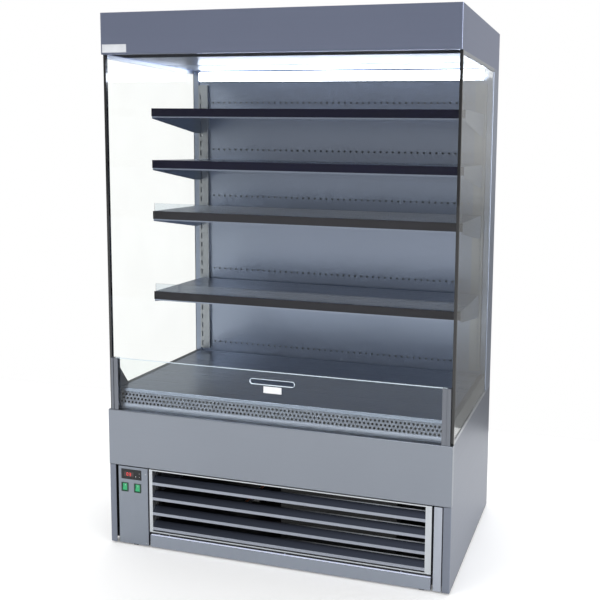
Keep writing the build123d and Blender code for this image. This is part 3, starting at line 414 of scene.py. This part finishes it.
def perforated(mesh, corner, along, up, back, radius, columns, rows, staggered=False, sides=12):
    """Add a sheet with rows of round holes, from a corner, its two edges and its thickness."""
    step, rise = along / columns, up / rows
    across_unit, up_unit = along.normalized(), up.normalized()
    turns = [2 * math.pi * (k + 0.5) / sides for k in range(sides)]
    for row in range(rows):
        start = corner + rise * row
        count = columns
        if staggered and row % 2:
            plain(mesh, start, step / 2, rise, back)
            plain(mesh, start + along - step / 2, step / 2, rise, back)
            start = start + step / 2
            count -= 1
        for column in range(count):
            centre = start + step * (column + 0.5) + rise / 2
            holes = []
            for offset in (Vector(), back):
                hole, rim = [], []
                for turn in turns:
                    x, z = math.cos(turn), math.sin(turn)
                    reach = 0.5 / max(abs(x), abs(z))
                    round_point = (across_unit * x + up_unit * z) * radius
                    hole.append(mesh.verts.new(centre + round_point + offset))
                    rim.append(mesh.verts.new(centre + (step * x + rise * z) * reach + offset))
                band(mesh, rim, hole)
                holes.append(hole)
            band(mesh, *holes)


def perforated_return():
    """The front intake again, with the real one's staggered rows of small round holes."""
    low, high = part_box("air_return_grille")
    foot_depth = 24 * MM
    band_height = 19.5 * MM               # upright band at the front, under the slope
    ledge_depth = 12 * MM                 # from the slope's upper end to the back
    nose = 6 * MM                         # radius of the roll between slope and ledge
    hole_radius, columns, rows = 4.1 * MM, 82, 4
    roll_steps = 8
    highlight_slot = 1                       # slot of the glowing finish on the roll and the ledge: a painted highlight

    band_top = low.z + band_height
    slope_back = high.y - ledge_depth
    along = Vector((high.x - low.x, 0, 0))
    thick = Vector((0, SHEET, 0))
    mesh = bmesh.new()
    plain(mesh, low.copy(), along, Vector((0, foot_depth, 0)), Vector((0, 0, SHEET)))
    plain(mesh, low.copy(), along, Vector((0, 0, band_height)), thick)
    tilt = math.atan2(high.z - band_top, slope_back - low.y)
    reach = nose * math.tan(tilt / 2)     # from the sharp corner to where the roll starts
    roll_start = Vector((low.x, slope_back - reach * math.cos(tilt), high.z - reach * math.sin(tilt)))
    slope_foot = Vector((low.x, low.y, band_top))
    perforated(mesh, slope_foot, along, roll_start - slope_foot, thick, hole_radius, columns, rows, True)
    slope_faces = set(mesh.faces)
    centre = Vector((low.x, slope_back + reach, high.z - nose))
    rolled = []
    for k in range(roll_steps + 1):
        turn = math.pi / 2 + tilt * (1 - k / roll_steps)
        radial = Vector((0, math.cos(turn), math.sin(turn)))
        rolled.append([
            mesh.verts.new(centre + radial * (nose - inset) + offset)
            for inset, offset in ((0, Vector()), (0, along), (SHEET, along), (SHEET, Vector()))
        ])
    for first, second in zip(rolled, rolled[1:]):
        band(mesh, first, second)
    plain(mesh, Vector((low.x, slope_back + reach, high.z - SHEET)), along,
          Vector((0, ledge_depth - reach, 0)), Vector((0, 0, SHEET)))
    # the roll and the ledge glow: a painted highlight on the rolled edge
    for face in mesh.faces:
        if face not in slope_faces:
            face.material_index = highlight_slot
    piece = made("perforated_air_return", mesh, "return", "cabinet")
    piece.data.materials.append(MATERIALS["edge_glow_painted_highlight"])
    smooth(piece, 20)
    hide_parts("air_return_grille")


def perforated_back():
    """The inner back panel again, with the real one's rows of small round air holes."""
    low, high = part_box("inner_back_panel")
    row_height = 20 * MM
    row_lift = 40 * MM                    # each row's middle, above the shelf or deck under it
    hole_radius, columns = 4 * MM, 48
    along = Vector((high.x - low.x, 0, 0))
    thick = Vector((0, SHEET, 0))
    carriers = ["deck_panel"] + [f"shelf_{number}_tray" for number in reversed(SHELVES)]
    mesh = bmesh.new()
    plain(mesh, low.copy(), along, Vector((0, high.y - low.y, 0)), Vector((0, 0, SHEET)))
    corner = Vector((low.x, high.y - SHEET, low.z))
    for carrier in carriers:
        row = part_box(carrier)[1].z + row_lift - row_height / 2
        plain(mesh, corner, along, Vector((0, 0, row - corner.z)), thick)
        corner.z = row
        perforated(mesh, corner, along, Vector((0, 0, row_height)), thick, hole_radius, columns, 1)
        corner.z = row + row_height
    plain(mesh, corner, along, Vector((0, 0, high.z - corner.z)), thick)
    piece = made("perforated_back_panel", mesh, "inside", "cabinet")
    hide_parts("inner_back_panel")


def riser_edges():
    """Glowing strips along the top of the riser glass and round its hand slot: a painted highlight on its
    polished edges.
    """
    low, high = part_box("riser_glass")
    slot_drop = 36 * MM                   # the slot's middle, below the top edge
    half_straight, slot_radius = 69 * MM, 8.4 * MM
    edge_width = 1.1 * MM
    top_height = 1.2 * MM
    sides = 36
    mesh = bmesh.new()
    slab(mesh, (low.x, low.y, high.z - top_height), (high.x, high.y, high.z - HAIR))
    middle_z = high.z - slot_drop
    outer = slot_radius + edge_width
    rings = []
    for radius, y in ((slot_radius, low.y), (outer, low.y), (outer, high.y), (slot_radius, high.y)):
        ring = []
        for k in range(sides):
            turn = 2 * math.pi * k / sides
            end = half_straight if math.cos(turn) > 0 else -half_straight
            ring.append(mesh.verts.new((
                end + radius * math.cos(turn), y, middle_z + radius * math.sin(turn),
            )))
        rings.append(ring)
    for i, ring in enumerate(rings):
        band(mesh, ring, rings[(i + 1) % len(rings)])
    made("riser_polished_edges", mesh, "edge", "riser_glass")


# ---------------------------------------------------------------- honeycomb air outlet
def honeycomb_outlet():
    """Hexagonal comb of thin walls in a frame, where the cold air leaves the canopy."""
    low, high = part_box("air_honeycomb")
    cell = 7.5 * MM                       # a hexagon's outer radius
    wall = 0.5 * MM
    rim = 3 * MM
    radius = cell - wall
    corners = [Vector((math.cos(math.radians(60 * k)), math.sin(math.radians(60 * k)), 0)) for k in range(6)]
    mesh = bmesh.new()
    step_x, step_y = 1.5 * cell, math.sqrt(3) * cell
    columns = int((high.x - low.x - 2 * rim - 2 * cell) / step_x)
    rows = int((high.y - low.y - 2 * rim - step_y) / step_y)
    start_x = (low.x + high.x) / 2 - step_x * (columns - 1) / 2
    start_y = (low.y + high.y) / 2 - step_y * (rows - 0.5) / 2
    for column in range(columns):
        for row in range(rows):
            x = start_x + column * step_x
            y = start_y + (row + 0.5 * (column % 2)) * step_y
            bottom, top = (
                [mesh.verts.new(Vector((x, y, z)) + corner * radius) for corner in corners]
                for z in (low.z, high.z)
            )
            band(mesh, bottom, top)
    slab(mesh, low, (high.x, low.y + rim, high.z))
    slab(mesh, (low.x, high.y - rim, low.z), high)
    slab(mesh, (low.x, low.y + rim, low.z), (low.x + rim, high.y - rim, high.z))
    slab(mesh, (high.x - rim, low.y + rim, low.z), (high.x, high.y - rim, high.z))
    piece = made("honeycomb_outlet", mesh, "comb", "cabinet")
    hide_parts("air_honeycomb")


# ---------------------------------------------------------------- controls
SEGMENTS = {"0": "abcdef", "3": "abgcd"}  # the lit bars of each digit


def digit(mesh, text, x, z, y):
    """Add one seven-segment digit, slightly raised from the plane y."""
    half_w, half_h, half_stroke = 2.7 * MM, 5 * MM, 0.65 * MM
    raised = 0.1 * MM
    bars = {
        "a": (0, half_h, True), "g": (0, 0, True), "d": (0, -half_h, True),
        "f": (-half_w, half_h / 2, False), "b": (half_w, half_h / 2, False),
        "e": (-half_w, -half_h / 2, False), "c": (half_w, -half_h / 2, False),
    }
    for segment in SEGMENTS[text]:
        across, rise, level = bars[segment]
        length = (half_w if level else half_h / 2) - half_stroke
        dx, dz = (length, half_stroke) if level else (half_stroke, length)
        middle_x, middle_z = x + across, z + rise
        slab(mesh, (middle_x - dx, y - raised, middle_z - dz), (middle_x + dx, y, middle_z + dz))


def thermostat_face():
    """Smoked window with two red digits."""
    low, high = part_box("thermostat")
    recess = 1.5 * MM                     # depth of the window's recess
    window_depth = 0.6 * MM
    fit = 0.3 * MM                        # the window's clearance in its recess
    digit_spread = 5 * MM
    middle_z = (low.z + high.z) / 2
    window_x = (low.x + high.x) / 2 - (high.x - low.x) / 8
    half_w, half_h = (high.x - low.x) / 4 - fit, (high.z - low.z) / 4 - fit
    back = low.y + recess
    face = back - window_depth
    mesh = bmesh.new()
    slab(mesh, (window_x - half_w, face, middle_z - half_h),
         (window_x + half_w, back - HAIR, middle_z + half_h), 0.2 * MM)
    made("thermostat_window", mesh, "window", "cabinet")
    mesh = bmesh.new()
    digit(mesh, "0", window_x - digit_spread, middle_z, face)
    digit(mesh, "3", window_x + digit_spread, middle_z, face)
    made("thermostat_digits", mesh, "red", "cabinet")


def key_marks():
    """Arrows on the up and down keys and a dot on the set key."""
    radius, proud = 1.5 * MM, 0.1 * MM
    for key, sides, first_turn in (("key_up", 3, 90), ("key_down", 3, 270), ("key_set", 12, 0)):
        low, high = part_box(key)
        centre = (low + high) / 2
        mesh = bmesh.new()
        ends = []
        for y in (low.y - proud, low.y + proud):
            ring = []
            for k in range(sides):
                turn = math.radians(first_turn + 360 / sides * k)
                ring.append(mesh.verts.new((
                    centre.x + radius * math.cos(turn), y, centre.z + radius * math.sin(turn),
                )))
            mesh.faces.new(ring)
            ends.append(ring)
        band(mesh, *ends)
        made(f"{key}_mark", mesh, "white", key)


def rocker_marks():
    """Line marks on the upper, upright halves of the two lit rockers."""
    face = FRONT + 3.63 * MM              # the upright half's face at rest
    half_width, foot, head = 0.5 * MM, 4 * MM, 8.5 * MM
    for rocker in ("power_rocker", "light_rocker"):
        low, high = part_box(rocker)
        x, z = (low.x + high.x) / 2, (low.z + high.z) / 2
        mesh = bmesh.new()
        slab(mesh, (x - half_width, face - 0.15 * MM, z + foot), (x + half_width, face + HAIR, z + head))
        made(f"{rocker}_mark", mesh, "white", rocker)


# ---------------------------------------------------------------- fixings and small trim
def screw(mesh, x, z, y, radius):
    """Add a domed screw head that faces the front."""
    sides = 16
    dome = ((1.0, 0.0), (0.95, 0.175), (0.7, 0.31), (0.35, 0.375))    # shares of the radius: out, proud
    rings = []
    for out, proud in dome:
        ring = []
        for k in range(sides):
            turn = 2 * math.pi * k / sides
            ring.append(mesh.verts.new((
                x + radius * out * math.cos(turn), y - radius * proud, z + radius * out * math.sin(turn),
            )))
        rings.append(ring)
    for outer, inner in zip(rings, rings[1:]):
        band(mesh, outer, inner)
    mesh.faces.new(rings[-1])


def fixings():
    """Small screw heads on the control panel and along the foot of the grille."""
    panel_low, panel_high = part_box("control_panel")
    mesh = bmesh.new()
    for z in (panel_high.z - 20 * MM, panel_low.z + 8 * MM):
        screw(mesh, panel_high.x - 7 * MM, z, panel_low.y, 2.6 * MM)
    smooth(made("panel_screws", mesh, "screw", "cabinet"))
    rail_low, rail_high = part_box("kick_rail")
    chassis_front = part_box("chassis_frame")[0].y
    mesh = bmesh.new()
    for share in (0.03, 0.07, 0.5, 0.9):  # along the rail, from its left end
        x = rail_low.x + (rail_high.x - rail_low.x) * share
        screw(mesh, x, rail_high.z + 2 * MM, chassis_front, 2.2 * MM)
    smooth(made("rail_screws", mesh, "screw", "cabinet"))


def kick_rail_fold():
    """The kick rail's top edge, folded back to the chassis, with a glowing finish as a painted highlight."""
    low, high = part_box("kick_rail")
    chassis_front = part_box("chassis_frame")[0].y
    mesh = bmesh.new()
    slab(mesh, (low.x, low.y + SHEET, high.z - SHEET), (high.x, chassis_front, high.z - HAIR))
    made("kick_rail_fold", mesh, "edge_glow_painted_highlight", "cabinet")


def bare_plates():
    """A bare name plate on the canopy and a bare tag on the riser glass."""
    low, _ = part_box("canopy_shell")
    inset, rise = 6 * MM, 5.5 * MM        # from the canopy's left end and lower edge
    width, height = 89 * MM, 26 * MM
    left, foot = low.x + inset, low.z + rise
    mesh = bmesh.new()
    slab(mesh, (left, FRONT, foot), (left + width, low.y, foot + height), 0.25 * MM)
    made("bare_name_plate", mesh, "plate", "cabinet")
    glass_low, glass_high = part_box("riser_glass")
    left, drop = -29 * MM, 71 * MM        # from the middle, and its foot from the glass's top
    width, height = 63 * MM, 22 * MM
    foot = glass_high.z - drop
    mesh = bmesh.new()
    slab(mesh, (left, glass_low.y - 0.4 * MM, foot), (left + width, glass_low.y, foot + height), 0.15 * MM)
    made("bare_tag", mesh, "white", "riser_glass")


# ---------------------------------------------------------------- stage, lights and camera
def pale_floor():
    """A pale floor that ends behind the part, where all is white anyway."""
    width, depth, back = 24, 19.2, 1.2
    bpy.ops.mesh.primitive_plane_add(size=1, location=(0, back - depth / 2, 0))
    floor = bpy.context.object
    floor.scale = (width, depth, 1)
    floor.name = "floor"
    finish = Finish("pale_floor")
    speckle = finish.noise(finish.stretched(), 3.0)
    finish.drive("Base Color", finish.ramp(speckle, (0.86, 0.86, 0.86, 1), (0.9, 0.9, 0.9, 1)))
    finish.set(Roughness=0.6, Emission_Color=WHITE)
    lift = 0.13                           # makes it paper white where it is seen, also through glass
    path = finish.add("ShaderNodeLightPath")
    seen = finish.maths("MAXIMUM", path.outputs["Is Camera Ray"], path.outputs["Is Transmission Ray"])
    finish.drive("Emission Strength", finish.maths("MULTIPLY", seen, lift))
    floor.data.materials.append(finish.material)


def surroundings():
    """Plain white all round, and a grey studio with two softboxes for what the sheets mirror."""
    world = bpy.data.worlds.new("studio")
    bpy.context.scene.world = world
    world.use_nodes = True
    sky = Nodes(world.node_tree)
    background = sky.tree.nodes["Background"]
    background.inputs["Color"].default_value = WHITE
    path = sky.add("ShaderNodeLightPath")
    place = sky.add("ShaderNodeTexCoord")
    toward = sky.add("ShaderNodeSeparateXYZ")
    sky.link(place.outputs["Generated"], toward.inputs["Vector"])

    def rising(axis, start, end, glow):
        """A glow that sets in between two directions."""
        node = sky.add("ShaderNodeMapRange", interpolation_type="SMOOTHSTEP")
        node.inputs["From Min"].default_value = start
        node.inputs["From Max"].default_value = end
        node.inputs["To Max"].default_value = glow
        sky.link(toward.outputs[axis], node.inputs["Value"])
        return node.outputs["Result"]

    darkest = 0.16
    floor_side = rising("Z", -0.1, 0.02, 0.25)
    rear_side = rising("Y", -1.0, 1.0, 0.1)
    overhead_box = sky.maths("MULTIPLY", rising("Z", 0.55, 0.8, 2.4), rising("X", -0.5, -0.2, 1.0))
    right_box = rising("X", 0.8, 0.96, 4.0)
    studio = darkest
    for glow in (floor_side, rear_side, overhead_box, right_box):
        studio = sky.maths("ADD", studio, glow)

    pane_loss = 0.08                      # what the panes take away of the white behind them
    straight = sky.maths("LESS_THAN", path.outputs["Glossy Depth"], 0.5)
    through = sky.maths("MULTIPLY", path.outputs["Is Transmission Ray"], straight)
    mirrored = sky.maths("SUBTRACT", path.outputs["Is Glossy Ray"], through, clamp=True)
    white = sky.maths("ADD", 1.0, sky.maths("MULTIPLY", through, pane_loss))
    strength = sky.add("ShaderNodeMix")
    for socket, value in (("Factor", mirrored), ("A", white), ("B", studio)):
        sky.link(value, strength.inputs[socket])
    sky.link(strength.outputs["Result"], background.inputs["Strength"])


def lamps():
    """Three large soft lamps, none of which shows as a glare in the sheets."""
    aim = Vector((0, 0, cad_high.z / 2))
    for name, spot, size, watts in (
        ("key", (-2.6, -3.6, 3.6), 2.4, 60), ("fill", (3.4, -3.0, 2.2), 2.0, 40),
        ("rear", (0.5, 3.6, 3.0), 2.4, 50),
    ):
        data = bpy.data.lights.new(name, "AREA")
        data.size, data.energy = size, watts
        lamp = bpy.data.objects.new(name, data)
        lamp.visible_glossy = False
        lamp.location = spot
        lamp.rotation_euler = (aim - Vector(spot)).to_track_quat("-Z", "Y").to_euler()
        bpy.context.scene.collection.objects.link(lamp)


def camera():
    """The photograph's view, with its shift."""
    place = (1.0813, -2.7658, 1.3807)
    yaw, pitch, roll = -0.2661, 0.1101, 0.0164
    picture_pixels, focal_pixels = 600, 835.24
    shift_right_pixels, shift_up_pixels = -100, -60
    forward = Vector((
        math.sin(yaw) * math.cos(pitch), math.cos(yaw) * math.cos(pitch), -math.sin(pitch),
    ))
    level = Vector((math.cos(yaw), -math.sin(yaw), 0))
    upright = level.cross(forward)
    right = math.cos(roll) * level + math.sin(roll) * upright
    up = -math.sin(roll) * level + math.cos(roll) * upright
    data = bpy.data.cameras.new("camera")
    data.lens = focal_pixels * data.sensor_width / picture_pixels
    data.shift_x = shift_right_pixels / picture_pixels
    data.shift_y = shift_up_pixels / picture_pixels
    eye = bpy.data.objects.new("camera", data)
    turn = Matrix((right, up, -forward)).transposed().to_4x4()
    eye.matrix_world = Matrix.Translation(place) @ turn
    bpy.context.scene.collection.objects.link(eye)
    bpy.context.scene.camera = eye


camera()
pale_floor()
surroundings()
lamps()
perforated_return()
perforated_back()
riser_edges()
honeycomb_outlet()
thermostat_face()
key_marks()
rocker_marks()
fixings()
kick_rail_fold()
bare_plates()

bpy.context.scene.view_settings.view_transform = "Standard"
